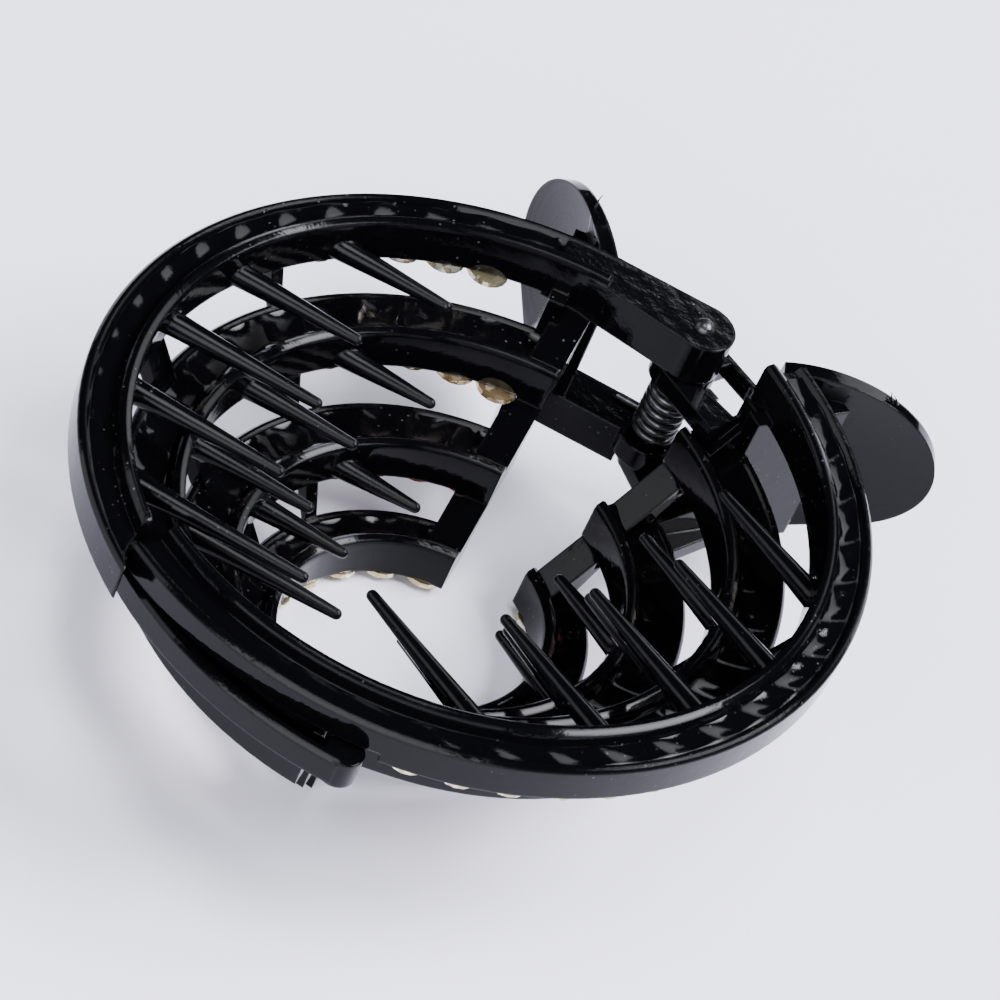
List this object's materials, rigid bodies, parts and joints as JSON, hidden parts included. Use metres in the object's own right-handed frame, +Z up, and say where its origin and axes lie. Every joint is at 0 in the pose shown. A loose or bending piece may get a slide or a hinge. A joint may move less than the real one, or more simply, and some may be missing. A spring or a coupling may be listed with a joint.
{
  "type": "hair clip",
  "caption": "Bird nest hair clip: sprung half domes of stepped black rings with rows of cut stones close round a bun, with teeth inside and oval finger grips at the hinge.",
  "frame": {"origin": "centre of the outline seen from above, on the plane that the crown's stones rest on", "axes": "+Z up from the crown to the rim along the hinge pin's direction, +Y towards the hinge and the grips, +X towards jaw B"},
  "size_m": [0.0848, 0.1042, 0.0341],
  "materials": {
    "black_plastic": "glossy moulded black plastic, satin on the finger grips",
    "black_steel": "blackened spring steel",
    "stone_champagne": "clear faceted acrylic with a pale gold foil back",
    "stone_amber": "amber faceted acrylic with a foil back",
    "stone_ruby": "ruby faceted acrylic with a foil back",
    "stone_gold": "gold faceted acrylic with a foil back"
  },
  "bodies": {
    "left_jaw": {"jaw_a": "black_plastic", "hinge_pin": "black_steel", "spring": "black_steel", "stones_a_rim": "stone_champagne", "stones_a_upper": "stone_amber", "stones_a_lower": "stone_ruby", "stones_a_crown": "stone_gold"},
    "right_jaw": {"jaw_b": "black_plastic", "stones_b_rim": "stone_champagne", "stones_b_upper": "stone_amber", "stones_b_lower": "stone_ruby", "stones_b_crown": "stone_gold"}
  },
  "joints": [
    {"name": "jaw_hinge", "type": "hinge", "parent": "left_jaw", "child": "right_jaw", "pos_m": [-0.00031, 0.03301, 0.0195], "axis": [0, 0, 1], "range_deg": [0, 50], "stiffness_Nm_per_rad": 0.08, "springref_deg": -28.65, "deforming": ["spring"]}
  ]
}
